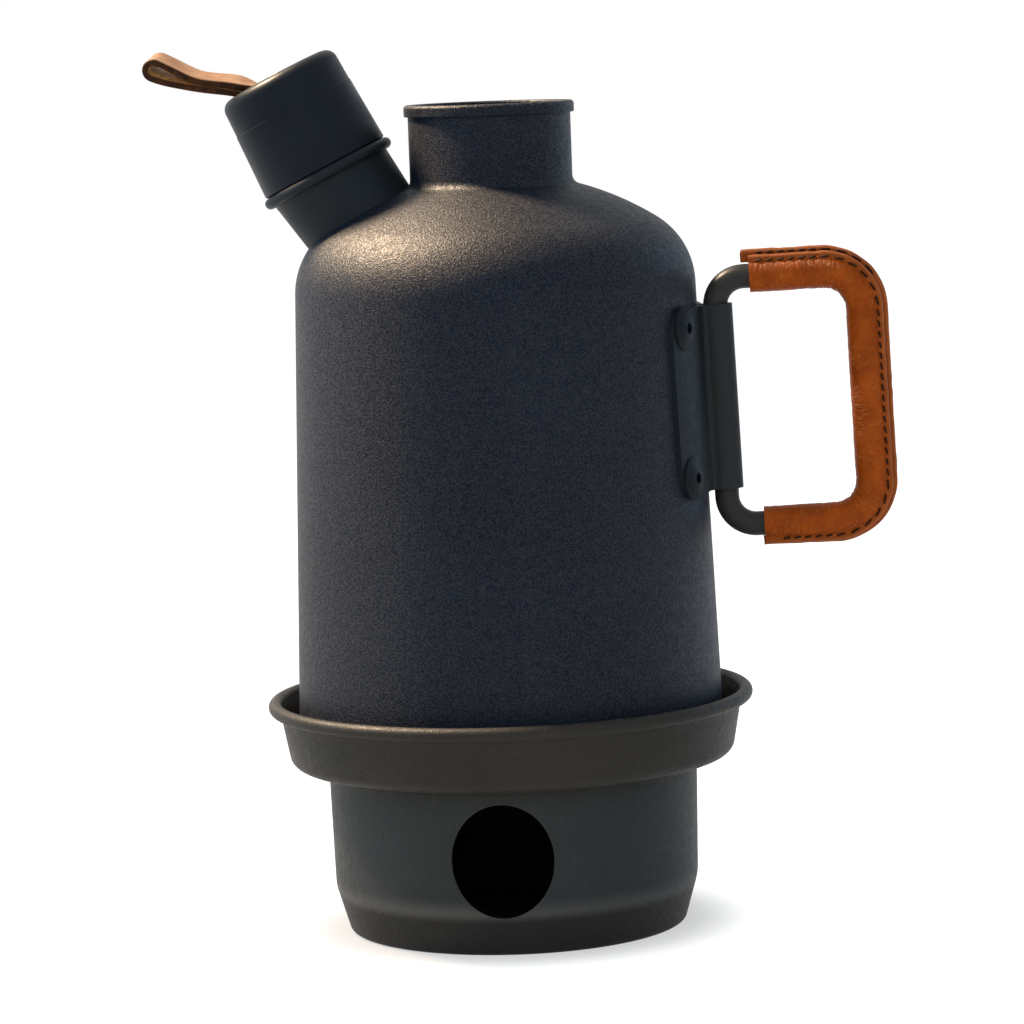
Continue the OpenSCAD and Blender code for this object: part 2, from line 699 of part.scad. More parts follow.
// A run of thread on the near flap and one on each face of the far flap
module grip_thread() {
    color("#2e1708") handle_frame() along_grip(-grip_flap_t / 2) {
        translate([near_stitch, -grip_flap_t - thread_r]) circle(thread_r, $fn = thread_fn);
        translate([far_stitch, -thread_r]) circle(thread_r, $fn = thread_fn);
        translate([far_stitch, grip_flap_t + thread_r]) circle(thread_r, $fn = thread_fn);
    }
}

fire_bowl();
drip_tray();
outer_shell();
chimney();
spout();
stopper_cap();
stopper_plug();
pull_strap();
strap_rivet();
rivet_washer();
handle_bracket();
bracket_rivet(-1, 1);  // rivet_upper_front
bracket_rivet(1, 1);  // rivet_upper_rear
bracket_rivet(-1, -1);  // rivet_lower_front
bracket_rivet(1, -1);  // rivet_lower_rear
rivet_mandrels();
handle_rod();
grip_leather();
grip_thread();
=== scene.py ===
import math

import bmesh
import bpy
import numpy as np
from mathutils import Matrix, Vector


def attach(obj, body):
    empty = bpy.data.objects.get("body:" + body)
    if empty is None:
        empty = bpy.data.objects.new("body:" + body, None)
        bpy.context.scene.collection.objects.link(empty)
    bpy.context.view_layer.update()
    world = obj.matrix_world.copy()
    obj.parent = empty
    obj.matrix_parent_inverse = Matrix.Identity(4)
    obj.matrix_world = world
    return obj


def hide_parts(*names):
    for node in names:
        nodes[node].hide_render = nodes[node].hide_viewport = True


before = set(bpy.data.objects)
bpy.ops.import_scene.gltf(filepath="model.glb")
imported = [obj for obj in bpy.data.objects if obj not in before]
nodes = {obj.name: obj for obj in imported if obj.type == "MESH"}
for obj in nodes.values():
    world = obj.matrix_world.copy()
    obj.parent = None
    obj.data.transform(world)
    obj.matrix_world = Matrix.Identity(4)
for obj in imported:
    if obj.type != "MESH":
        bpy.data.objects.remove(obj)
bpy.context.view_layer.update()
scene = bpy.context.scene
MM = 0.001

# Sizes of the object in millimetres, the same as in the solids
SHEET = 1.2
FOOT_Z, HEM_R, FOOT_CURL_R = 62.5, 74.0, 2.6
SHELL_FOOT_R, SHELL_TOP_R = 78.0, 72.6
SHOULDER_Z, SHOULDER_R, SHOULDER_SLOPE = 234.0, 29.0, 33
CROWN_R, NECK_FILLET = 110.0, 3.5
WALL_LEAN = math.atan((SHELL_FOOT_R - SHELL_TOP_R) / (SHOULDER_Z - FOOT_Z))
NECK_R, NECK_TOP, RIM_Z, FLUE_R = 29.4, 299.129, 300.529, 26.9
MOUTH_LEAN, SPOUT_LEAN = math.radians(26), math.radians(33.3)
POUR_HOLE_R, POUR_HOLE_L = 15.5, 75
COLLAR_Z = 58.3

# Frames of the stopper and the handle, in metres
MOUTH = Vector((-59.2, 0, 277.0)) * MM
MOUTH_FRAME = Matrix.Translation(MOUTH) @ Matrix.Rotation(-MOUTH_LEAN, 4, "Y")
HANDLE = Vector((80.501, 0, 189.5)) * MM
HANDLE_FRAME = Matrix.Translation(HANDLE) @ Matrix.Rotation(-WALL_LEAN, 4, "Y")


def srgb(r, g, b):
    """A colour written in 0-255 screen values, as linear RGBA."""
    def one(c):
        c /= 255
        return c / 12.92 if c <= 0.04045 else ((c + 0.055) / 1.055) ** 2.4
    return (one(r), one(g), one(b), 1.0)


# Mesh helpers

def mesh_object(name, verts, faces, material, body, place=Matrix.Identity(4), smooth=40, uvs=None):
    """A mesh piece from points in millimetres, riding on a body."""
    mesh = bpy.data.meshes.new(name)
    co = [place @ (Vector(v) * MM) for v in verts]
    mesh.from_pydata(co, [], faces)
    if uvs is not None:
        layer = mesh.uv_layers.new(name="UVMap")
        loop_verts = np.zeros(len(mesh.loops), int)
        mesh.loops.foreach_get("vertex_index", loop_verts)
        layer.data.foreach_set("uv", np.asarray(uvs, np.float32)[loop_verts].ravel())
    bm = bmesh.new()
    bm.from_mesh(mesh)
    bmesh.ops.recalc_face_normals(bm, faces=bm.faces)
    bm.to_mesh(mesh)
    bm.free()
    mesh.shade_smooth()
    mesh.set_sharp_from_angle(angle=math.radians(smooth))
    obj = bpy.data.objects.new(name, mesh)
    scene.collection.objects.link(obj)
    mesh.materials.append(material)
    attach(obj, body)
    return obj


def rounded(points, step=7):
    """A closed outline of (x, y, corner radius) with its corners turned into arcs."""
    out = []
    n = len(points)
    for i, (x, y, r) in enumerate(points):
        p = np.array((x, y), float)
        if r <= 0:
            out.append(p)
            continue
        a = np.array(points[i - 1][:2], float) - p
        b = np.array(points[(i + 1) % n][:2], float) - p
        a /= np.linalg.norm(a)
        b /= np.linalg.norm(b)
        half = math.acos(max(-1, min(1, float(a @ b)))) / 2
        turn = math.pi - 2 * half
        if turn < 0.01:
            out.append(p)
            continue
        mid = (a + b) / np.linalg.norm(a + b)
        c = p + mid * r / math.sin(half)
        v0 = p + a * r / math.tan(half) - c
        v1 = p + b * r / math.tan(half) - c
        steps = max(2, math.ceil(math.degrees(turn) / step))
        for j in range(steps + 1):
            t = j / steps
            out.append(c + (math.sin((1 - t) * turn) * v0 + math.sin(t * turn) * v1) / math.sin(turn))
    return [tuple(p) for p in out]


def arc(c, r, a0, a1, steps=24):
    """Points on an arc about c, from angle a0 to a1 in degrees."""
    return [(c[0] + r * math.cos(math.radians(a0 + (a1 - a0) * i / steps)),
             c[1] + r * math.sin(math.radians(a0 + (a1 - a0) * i / steps))) for i in range(steps + 1)]


def dense(line, step):
    """The same line with points at most a step apart."""
    out = []
    for p, q in zip(line, line[1:]):
        k = max(1, math.ceil(math.dist(p, q) / step))
        out += [(p[0] + (q[0] - p[0]) * j / k, p[1] + (q[1] - p[1]) * j / k) for j in range(k)]
    return out + [line[-1]]


def dense_loop(line, step):
    """A closed line with points at most a step apart."""
    return dense(line + line[:1], step)[:-1]


def lathe(name, outline, material, body, seg=256, place=Matrix.Identity(4), smooth=35):
    """A closed outline of (radius, height) turned about the z axis."""
    outline = [p for p, q in zip(outline, outline[-1:] + outline[:-1]) if math.dist(p, q) > 0.02]
    verts, rings = [], []
    for r, z in outline:
        first = len(verts)
        if r < 1e-4:
            verts.append((0, 0, z))
            rings.append([first] * seg)
            continue
        verts += [(r * math.cos(2 * math.pi * i / seg), r * math.sin(2 * math.pi * i / seg), z) for i in range(seg)]
        rings.append(list(range(first, first + seg)))
    faces = []
    for k, low in enumerate(rings):
        high = rings[(k + 1) % len(rings)]
        for i in range(seg):
            j = (i + 1) % seg
            face = list(dict.fromkeys((low[i], low[j], high[j], high[i])))
            if len(face) > 2:
                faces.append(face)
    return mesh_object(name, verts, faces, material, body, place, smooth)


def grid_faces(rows, cols, start=0):
    """Quads between rows of points, each row closed on itself."""
    faces = []
    for i in range(rows - 1):
        for j in range(cols):
            a, b, k = start + i * cols, start + (i + 1) * cols, (j + 1) % cols
            faces.append((a + j, a + k, b + k, b + j))
    return faces


def value_noise(u, v, cells_v, seed, cells_u=1024):
    """Smooth noise of 0 to 1 on a seeded grid, which repeats after cells_v along v."""
    grid = np.random.default_rng(seed).random((cells_u, cells_v))
    iu, iv = np.floor(u).astype(int), np.floor(v).astype(int)
    fu, fv = u - iu, v - iv
    fu, fv = fu * fu * (3 - 2 * fu), fv * fv * (3 - 2 * fv)

    def at(a, b):
        return grid[np.mod(a, cells_u), np.mod(b, cells_v)]

    low = at(iu, iv) * (1 - fu) + at(iu + 1, iv) * fu
    high = at(iu, iv + 1) * (1 - fu) + at(iu + 1, iv + 1) * fu
    return low * (1 - fv) + high * fv


# Materials

GRAIN_DEPTH = 0.00024
LEATHER_GLOSS = 0.1
# A pale colour for rubbed wear on the chimney's lip and the tray's bead, also used for painted light on the bowl below
# its knee and on the bracket's sleeve; and a near black for painted shade inside the fire bowl.
RUBBED_AND_PAINTED_LIGHT, PAINTED_SHADE_BLACK = srgb(146, 144, 140), srgb(9, 9, 9)


class Shader:
    """A principled material that is built up node by node."""

    def __init__(self, name, colour, rough, metallic=0.0):
        self.material = bpy.data.materials.new(name)
        self.material.use_nodes = True
        self.tree = self.material.node_tree
        self.bsdf = self.tree.nodes["Principled BSDF"]
        self.set("Base Color", colour)
        self.set("Roughness", rough)
        self.set("Metallic", metallic)
        self.coord = self.node("ShaderNodeTexCoord")
        self.material.diffuse_color = colour

    def node(self, kind, **settings):
        n = self.tree.nodes.new(kind)
        for key, value in settings.items():
            setattr(n, key, value)
        return n

    def set(self, socket, value):
        self.bsdf.inputs[socket].default_value = value

    def link(self, out, into):
        self.tree.links.new(out, into)

    def feed(self, out, socket):
        self.link(out, self.bsdf.inputs[socket])

    def place(self, scale=(1, 1, 1), kind="Object", turn=0.0):
        m = self.node("ShaderNodeMapping")
        m.inputs["Scale"].default_value = scale
        m.inputs["Rotation"].default_value = (0, 0, turn)
        self.link(self.coord.outputs[kind], m.inputs["Vector"])
        return m.outputs["Vector"]

    def noise(self, scale, detail=3.0, rough=0.55, vector=None, distortion=0.0):
        n = self.node("ShaderNodeTexNoise")
        n.inputs["Scale"].default_value = scale
        n.inputs["Detail"].default_value = detail
        n.inputs["Roughness"].default_value = rough
        n.inputs["Distortion"].default_value = distortion
        self.link(vector or self.coord.outputs["Object"], n.inputs["Vector"])
        return n.outputs["Fac"]

    def cells(self, scale, vector=None):
        n = self.node("ShaderNodeTexVoronoi")
        n.inputs["Scale"].default_value = scale
        self.link(vector or self.coord.outputs["Object"], n.inputs["Vector"])
        return n.outputs["Distance"]

    def ramp(self, out, low, high, v0=0.0, v1=1.0):
        n = self.node("ShaderNodeMapRange", interpolation_type="SMOOTHSTEP")
        self.link(out, n.inputs["Value"])
        n.inputs["From Min"].default_value = low
        n.inputs["From Max"].default_value = high
        n.inputs["To Min"].default_value = v0
        n.inputs["To Max"].default_value = v1
        return n.outputs["Result"]

    def calc(self, op, a, b):
        n = self.node("ShaderNodeMath", operation=op)
        for value, socket in ((a, n.inputs[0]), (b, n.inputs[1])):
            if isinstance(value, (int, float)):
                socket.default_value = value
            else:
                self.link(value, socket)
        return n.outputs[0]

    def mix(self, factor, a, b):
        n = self.node("ShaderNodeMix", data_type="RGBA")
        self.link(factor, n.inputs["Factor"])
        for value, socket in ((a, n.inputs["A"]), (b, n.inputs["B"])):
            socket = [s for s in n.inputs if s.name == socket.name and s.type == "RGBA"][0]
            if isinstance(value, tuple):
                socket.default_value = value
            else:
                self.link(value, socket)
        return [s for s in n.outputs if s.type == "RGBA"][0]

    def strokes(self, scale, turn):
        """Short slanted strokes across a strip, in patches, as a mask of 0 to 1."""
        line = self.ramp(self.noise(1.0, 1.0, 0.5, self.place(scale, "UV", turn), 0.35), 0.57, 0.70)
        patch = self.ramp(self.noise(1.3, 2.0, 0.5, self.place((1, 1, 1), "UV")), 0.44, 0.64, 0.0, 1.0)
        return self.calc("MULTIPLY", line, patch)

    def axis(self, which):
        n = self.node("ShaderNodeSeparateXYZ")
        self.link(self.coord.outputs["Object"], n.inputs[0])
        return n.outputs[which]

    def radius(self):
        """Distance from the z axis, in metres."""
        x, y = self.axis("X"), self.axis("Y")
        squares = self.calc("ADD", self.calc("MULTIPLY", x, x), self.calc("MULTIPLY", y, y))
        return self.calc("SQRT", squares, 0.0)

    def bump(self, height, strength, distance):
        """Adds a bump on top of those that are there."""
        n = self.node("ShaderNodeBump")
        n.inputs["Strength"].default_value = strength
        n.inputs["Distance"].default_value = distance
        self.link(height, n.inputs["Height"])
        old = self.bsdf.inputs["Normal"].links
        if old:
            self.link(old[0].from_socket, n.inputs["Normal"])
        self.feed(n.outputs["Normal"], "Normal")


def blasted(name, dark, light, rough, wear_and_painted_light=None, grain=1700, bump=0.9, painted_shade=None, gloss=0.16, sparkle=0.4):
    """Blasted and anodised sheet; two optional mask functions of the shader give pale patches (rubbed wear on some
    sheets, painted light on others) and painted shade.
    """
    s = Shader(name, dark, rough)
    if sparkle:
        spots = s.ramp(s.noise(1500, 1.0), 0.36, 0.64, (1 - sparkle) * gloss, (1 + sparkle) * gloss)
        s.feed(spots, "Specular IOR Level")
    else:
        s.set("Specular IOR Level", gloss)
    fine = s.noise(grain, 1.0, 0.6)
    colour = s.mix(s.ramp(s.noise(16, 3.0), 0.3, 0.7), dark, light)
    pale = tuple(1.9 * c for c in light[:3]) + (1.0,)
    colour = s.mix(s.ramp(s.noise(grain * 1.4, 1.0), 0.58, 0.76, 0.0, 0.5), colour, pale)
    # Pale patches: rubbed wear on the lip and bead, painted light on the bowl and the bracket.
    if wear_and_painted_light:
        colour = s.mix(wear_and_painted_light(s), colour, RUBBED_AND_PAINTED_LIGHT)
    # Painted shade, near black, where its mask is given.
    if painted_shade:
        colour = s.mix(painted_shade(s), colour, PAINTED_SHADE_BLACK)
    s.feed(colour, "Base Color")
    s.feed(s.ramp(s.noise(380, 2.0), 0.25, 0.75, rough - 0.05, rough + 0.06), "Roughness")
    s.bump(fine, bump, GRAIN_DEPTH)
    return s.material


def worn_lip(s):
    near = s.calc("MULTIPLY", s.ramp(s.axis("Z"), 0.2985, 0.3006), s.ramp(s.radius(), 0.0290, 0.0308))
    return s.calc("MULTIPLY", near, s.ramp(s.noise(620, 4.0, 0.7), 0.54, 0.7, 0.0, 0.5))


def worn_bead(s):
    near = s.calc("MULTIPLY", s.ramp(s.axis("Z"), 0.0840, 0.0862), s.ramp(s.radius(), 0.0835, 0.0855))
    return s.calc("MULTIPLY", near, s.ramp(s.noise(420, 4.0, 0.7), 0.56, 0.72, 0.0, 0.35))


# Painted light: the bowl's band below the knee faces the floor and is made paler, as if lit from the bright floor.
def painted_floor_light_below_knee(s):
    return s.ramp(s.axis("Z"), 0.0215, 0.0145, 0.0, 0.17)


# Painted light: the bracket's sleeve is made a little paler than its flange, as it faces the light differently.
def painted_light_on_sleeve(s):
    return s.ramp(s.axis("X"), 0.0735, 0.0765, 0.0, 0.07)


# Painted shade: the inside of the fire bowl, seen through its air hole, is made near black.
def painted_shade_inside_bowl(s):
    return s.ramp(s.radius(), 0.0664, 0.0650, 0.0, 0.8)


BODY = blasted("body_sheet", srgb(8, 17, 30), srgb(13, 22, 35), 0.54, gloss=0.18, sparkle=0.5)
LIP = blasted("chimney_sheet", srgb(13, 21, 31), srgb(18, 26, 36), 0.50, worn_lip, gloss=0.14, sparkle=0.5)
BASE = blasted("base_sheet", srgb(40, 44, 46), srgb(45, 49, 51), 0.55, painted_floor_light_below_knee,
               bump=0.7, painted_shade=painted_shade_inside_bowl, gloss=0.12, sparkle=0.2)
# Painted light: the tray's colour is a little warmer than the base's, for warm light bounced onto it.
TRAY = blasted("tray_sheet", srgb(38, 38, 36), srgb(44, 43, 40), 0.52, worn_bead, bump=0.7, gloss=0.12, sparkle=0.2)
BRACKET = blasted("bracket_sheet", srgb(15, 23, 29), srgb(19, 27, 33), 0.52, painted_light_on_sleeve,
                  bump=0.12, gloss=0.07, sparkle=0.0)


def smooth_black(name, dark, light, rough, gloss):
    """Satin black surface with a very fine texture and faint handling marks."""
    s = Shader(name, dark, rough)
    s.set("Specular IOR Level", gloss)
    s.feed(s.mix(s.ramp(s.noise(30, 4.0), 0.35, 0.7), dark, light), "Base Color")
    s.feed(s.ramp(s.noise(90, 5.0, 0.65), 0.3, 0.75, rough - 0.05, rough + 0.09), "Roughness")
    s.bump(s.noise(2200, 2.0), 0.1, 0.0003)
    return s.material


SPOUT = smooth_black("spout_tube", srgb(29, 36, 42), srgb(34, 41, 47), 0.47, 0.08)
CAP = smooth_black("cap_black", srgb(22, 29, 37), srgb(27, 34, 42), 0.40, 0.07)
ROD = smooth_black("rod_paint", srgb(46, 47, 47), srgb(53, 54, 53), 0.40, 0.1)
RUBBER = smooth_black("plug_rubber", srgb(44, 45, 46), srgb(52, 52, 52), 0.7, 0.1)


def metal(name, colour, rough):
    s = Shader(name, colour, rough, 1.0)
    dull = tuple(0.6 * c for c in colour[:3]) + (1.0,)
    s.feed(s.mix(s.ramp(s.noise(260, 4.0, 0.6), 0.4, 0.7), colour, dull), "Base Color")
    s.feed(s.ramp(s.noise(700, 3.0), 0.3, 0.7, rough - 0.08, rough + 0.12), "Roughness")
    s.bump(s.noise(1500, 2.0), 0.1, 0.0002)
    return s.material


NICKEL = metal("nickel_rivet", srgb(176, 170, 160), 0.34)
STEEL = metal("mandrel_steel", srgb(84, 86, 89), 0.42)


def grip_hide():
    """Waxed brown leather: fine pores, darker patches of tone, short pale strokes across the grip that are pale cracks
    with painted highlight on their raised edges, and painted shade in the crease valleys.
    """
    s = Shader("grip_leather", srgb(146, 70, 22), 0.42)
    s.set("Specular IOR Level", LEATHER_GLOSS)
    along = s.place((1, 1, 1), "UV")
    patch = s.noise(1.1, 4.0, 0.6, along)
    crease = s.noise(1.0, 5.0, 0.62, s.place((11, 2.2, 1), "UV"), 0.8)
    lines = s.calc("MAXIMUM", s.strokes((15, 3.4, 1), 0.5), s.strokes((19, 4.2, 1), -0.3))
    colour = s.mix(s.ramp(patch, 0.3, 0.75), srgb(136, 60, 8), srgb(164, 77, 15))
    # Pale strokes: pale cracks, and painted highlight on the raised wrinkles.
    colour = s.mix(s.calc("MULTIPLY", lines, 0.36), colour, srgb(206, 126, 60))
    # Painted shade: darker where the crease bump is low, in its valleys.
    colour = s.mix(s.ramp(crease, 0.42, 0.30, 0.0, 0.3), colour, srgb(92, 40, 10))
    pores = s.cells(34, along)
    colour = s.mix(s.ramp(pores, 0.2, 0.02, 0.0, 0.3), colour, srgb(84, 36, 10))
    s.feed(colour, "Base Color")
    s.feed(s.ramp(s.noise(6, 4.0, 0.6, along), 0.3, 0.75, 0.36, 0.54), "Roughness")
    s.bump(crease, 0.5, 0.0005)
    s.bump(lines, 0.8, 0.0002)
    s.bump(s.cells(26, along), 0.25, 0.0002)
    return s.material


def flap_hide():
    """The same leather on the flaps of the seam, with a painted highlight that makes it a little paler at the turned
    edge.
    """
    s = Shader("flap_leather", srgb(146, 72, 26), 0.5)
    s.set("Specular IOR Level", LEATHER_GLOSS)
    along = s.place((1, 1, 1), "UV")
    across = s.node("ShaderNodeSeparateXYZ")
    s.link(along, across.inputs[0])
    patch = s.noise(2.0, 4.0, 0.6, along)
    grain = s.noise(22, 4.0, 0.65, along)
    colour = s.mix(s.ramp(patch, 0.3, 0.75), srgb(128, 60, 16), srgb(154, 78, 28))
    colour = s.mix(s.ramp(grain, 0.56, 0.74, 0.0, 0.5), colour, srgb(192, 116, 62))
    # Painted highlight: paler towards the flap's outer edge.
    edge = s.ramp(across.outputs["Y"], 0.55, 1.0, 0.0, 0.55)
    colour = s.mix(edge, colour, srgb(172, 98, 52))
    s.feed(colour, "Base Color")
    s.feed(s.ramp(s.noise(9, 3.0, 0.6, along), 0.3, 0.75, 0.44, 0.62), "Roughness")
    s.bump(grain, 0.4, 0.0003)
    return s.material


def strap_hide():
    """Natural tan leather with burnished dark edges; the flesh side inside the loop is golden."""
    s = Shader("strap_leather", srgb(176, 124, 78), 0.55)
    s.set("Specular IOR Level", LEATHER_GLOSS)
    marks = s.node("ShaderNodeAttribute", attribute_name="hide")
    parts = s.node("ShaderNodeSeparateColor")
    s.link(marks.outputs["Color"], parts.inputs[0])
    grain = s.noise(900, 4.0, 0.6)
    colour = s.mix(s.ramp(s.noise(110, 4.0, 0.6), 0.3, 0.7), srgb(152, 112, 82), srgb(184, 144, 112))
    flesh = s.mix(s.ramp(s.noise(260, 4.0, 0.7), 0.35, 0.65), srgb(140, 92, 30), srgb(214, 164, 70))
    colour = s.mix(parts.outputs["Green"], colour, flesh)
    rim = s.mix(s.ramp(s.noise(300, 3.0), 0.35, 0.7), srgb(34, 18, 8), srgb(66, 38, 17))
    colour = s.mix(parts.outputs["Red"], colour, rim)
    s.feed(colour, "Base Color")
    s.feed(s.ramp(grain, 0.3, 0.7, 0.46, 0.68), "Roughness")
    s.bump(grain, 0.35, 0.0003)
    s.bump(s.cells(1100), 0.2, 0.0002)
    return s.material


def thread_fibre():
    s = Shader("thread", srgb(36, 18, 8), 0.65)
    s.set("Specular IOR Level", LEATHER_GLOSS)
    twist = s.noise(2600, 2.0)
    s.feed(s.mix(s.ramp(twist, 0.35, 0.65), srgb(26, 12, 5), srgb(58, 30, 14)), "Base Color")
    s.bump(twist, 0.4, 0.0002)
    return s.material


GRIP, FLAP, STRAP, THREAD = grip_hide(), flap_hide(), strap_hide(), thread_fibre()

# Turned sheet pieces

def shell_line(d):
    """The shell's outline from hem to neck, moved inwards by d."""
    lean, slope = math.degrees(WALL_LEAN), math.radians(SHOULDER_SLOPE)
    curl_x = SHELL_FOOT_R - FOOT_CURL_R * (math.tan(WALL_LEAN) + 1 / math.cos(WALL_LEAN))
    curl_c = (curl_x, FOOT_Z + FOOT_CURL_R)
    shoulder_c = (SHELL_TOP_R - SHOULDER_R * math.cos(WALL_LEAN), SHOULDER_Z - SHOULDER_R * math.sin(WALL_LEAN))
    crown_c = (shoulder_c[0] + (SHOULDER_R - CROWN_R) * math.sin(slope),
               shoulder_c[1] + (SHOULDER_R - CROWN_R) * math.cos(slope))
    fillet_x, reach = NECK_R + NECK_FILLET, CROWN_R + NECK_FILLET
    fillet_slope = math.asin((fillet_x - crown_c[0]) / reach)
    fillet_c = (fillet_x, crown_c[1] + reach * math.cos(fillet_slope))
    deg = math.degrees(fillet_slope)
    line = [(HEM_R, FOOT_Z + d)] + arc(curl_c, FOOT_CURL_R - d, -90, lean, 10)
    line += arc(shoulder_c, SHOULDER_R - d, lean, 90 - SHOULDER_SLOPE, 28)
    line += arc(crown_c, CROWN_R - d, 90 - SHOULDER_SLOPE, 90 - deg, 28)
    line += arc(fillet_c, NECK_FILLET + d, 270 - deg, 180, 12) + [(NECK_R - d, NECK_TOP)]
    return dense(line, 8.0)


shell = lathe("kettle_shell", shell_line(0) + shell_line(SHEET)[::-1], BODY, "kettle", 320)


def bore(obj, start, end, radius):
    """Cuts a round hole from start to end, in millimetres, through a mesh."""
    bm = bmesh.new()
    bmesh.ops.create_cone(bm, cap_ends=True, segments=96, radius1=radius * MM, radius2=radius * MM,
                          depth=math.dist(start, end) * MM)
    cutter_mesh = bpy.data.meshes.new("cutter")
    bm.to_mesh(cutter_mesh)
    bm.free()
    cutter = bpy.data.objects.new("cutter", cutter_mesh)
    scene.collection.objects.link(cutter)
    axis = Vector(end) - Vector(start)
    middle = Matrix.Translation((Vector(start) + Vector(end)) / 2 * MM)
    cutter.matrix_world = middle @ axis.to_track_quat("Z", "Y").to_matrix().to_4x4()
    modifier = obj.modifiers.new("hole", "BOOLEAN")
    modifier.operation, modifier.solver, modifier.object = "DIFFERENCE", "EXACT", cutter
    depsgraph = bpy.context.evaluated_depsgraph_get()
    mesh = bpy.data.meshes.new_from_object(obj.evaluated_get(depsgraph))
    obj.modifiers.clear()
    old, obj.data = obj.data, mesh
    bpy.data.meshes.remove(old)
    bpy.data.objects.remove(cutter)
    bpy.data.meshes.remove(cutter_mesh)


spout_way = Vector((math.sin(SPOUT_LEAN), 0, -math.cos(SPOUT_LEAN)))
bore(shell, MOUTH / MM, MOUTH / MM + POUR_HOLE_L * spout_way, POUR_HOLE_R)
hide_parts("outer_shell")

LIP_IN, LIP_OUT, LIP_Z, SEAT_Z = NECK_R + 0.1, NECK_R + 1.4, 296.329, 299.229
SKIRT_R, SKIRT_Z, JACKET_Z, FLUE_Z = 76.46, 65.2, 70.0, 261.129
chimney_line = rounded([
    (68.5, JACKET_Z, 1.5), (SKIRT_R - SHEET, JACKET_Z, 1.0), (SKIRT_R - SHEET, SKIRT_Z, 0.3),
    (SKIRT_R, SKIRT_Z, 0.3), (SKIRT_R, JACKET_Z + SHEET, 1.6), (68.5 + SHEET, JACKET_Z + SHEET, 2.5),
    (FLUE_R + SHEET, FLUE_Z, 8.0), (FLUE_R + SHEET, SEAT_Z, 0.0), (LIP_IN, SEAT_Z, 0.0),
    (LIP_IN, LIP_Z, 0.25), (LIP_OUT, LIP_Z, 0.45), (LIP_OUT, RIM_Z, 1.25), (FLUE_R, RIM_Z, 0.9), (FLUE_R, FLUE_Z, 8.0)])
chimney = lathe("chimney_flue", dense_loop(chimney_line, 12.0), LIP, "kettle", 256)
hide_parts("chimney")

COLLAR_R, TRAY_Z, BEAD, BEAD_R = 67.5, 61.3, (86.1, 83.5), 2.5
tray_line = rounded([
    (COLLAR_R, COLLAR_Z, 0.3), (COLLAR_R + SHEET, COLLAR_Z, 0.3), (COLLAR_R + SHEET, TRAY_Z, 0.8),
    (80.7, TRAY_Z, 5.0), (84.35, 81.4, 0.0)])
tray_line += arc(BEAD, BEAD_R, 230, 540, 40)
tray_line += rounded([
    (83.55, 83.4, 0.0), (79.72, TRAY_Z + SHEET, 3.8), (COLLAR_R, TRAY_Z + SHEET, 0.3), (COLLAR_R, COLLAR_Z, 0.0)])[:-1]
tray = lathe("drip_tray_rolled", dense_loop(tray_line, 6.0), TRAY, "fire_base", 320)
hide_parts("drip_tray")

# Fire bowl: turned, with an oval hole whose edge is broken all round

BOWL_SEG, PATCH, BOWL_ROWS = 320, 20, 40
PATCH_FOOT, PATCH_TOP = 6.0, 57.5
BOWL_OUT_R, BOWL_IN_R, BOWL_KNEE_Z = 67.4, 66.2, 17
HOLE_HALF_W, HOLE_HALF_H, HOLE_Z = 18.2, 20.5, 34.8
HOLE_RINGS = (0.0, 0.05, 0.12, 0.22, 0.36, 0.54, 0.76)
EDGE_GROW, EDGE_DEEP = (0.3, 0.12), (0.2, -0.1)


def bowl_wall(line):
    """A wall's outline up to the patch with the hole, and its radius as a function of height."""
    r, z = np.array(line[1:]).T
    low = [p for p in line if p[1] < PATCH_FOOT - 0.1]
    return dense(low, 6.0), lambda h: float(np.interp(h, z, r))


